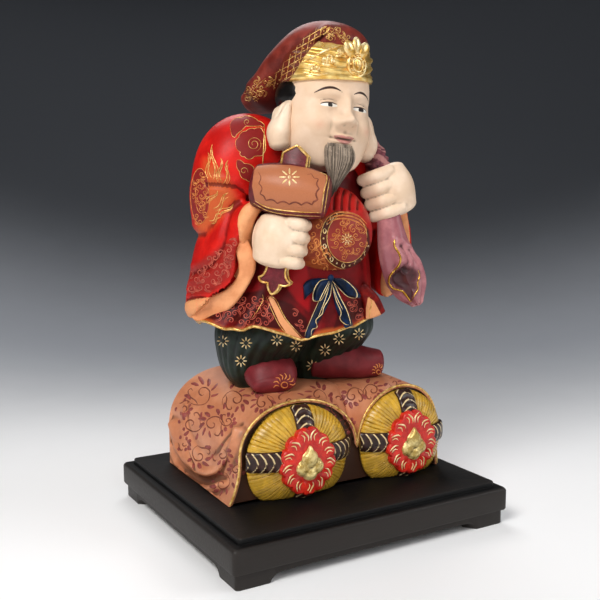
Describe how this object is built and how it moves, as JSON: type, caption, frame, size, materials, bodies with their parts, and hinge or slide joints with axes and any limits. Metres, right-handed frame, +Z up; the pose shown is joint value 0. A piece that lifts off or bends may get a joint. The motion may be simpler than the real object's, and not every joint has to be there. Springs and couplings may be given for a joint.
{
  "type": "daikoku figure",
  "caption": "Painted pottery figure of Daikoku in a soft cap, with a mallet and a sack, standing on rice bales under a patterned cloth, on a black wooden stand",
  "frame": {"origin": "middle of the display stand's underside", "axes": "+Z up; the figure looks along -Y; its right hand, with the mallet, is on the -X side"},
  "size_m": [0.22, 0.2, 0.3559],
  "materials": {
    "stand_lacquer": "black, semi-matt",
    "painted_clay_bales": "painted, satin",
    "painted_clay_figure": "painted, satin",
    "painted_clay_mallet": "painted, satin"
  },
  "bodies": {
    "root": {"display_stand": "stand_lacquer", "rice_bales": "painted_clay_bales", "figure": "painted_clay_figure", "mallet": "painted_clay_mallet"}
  },
  "joints": []
}
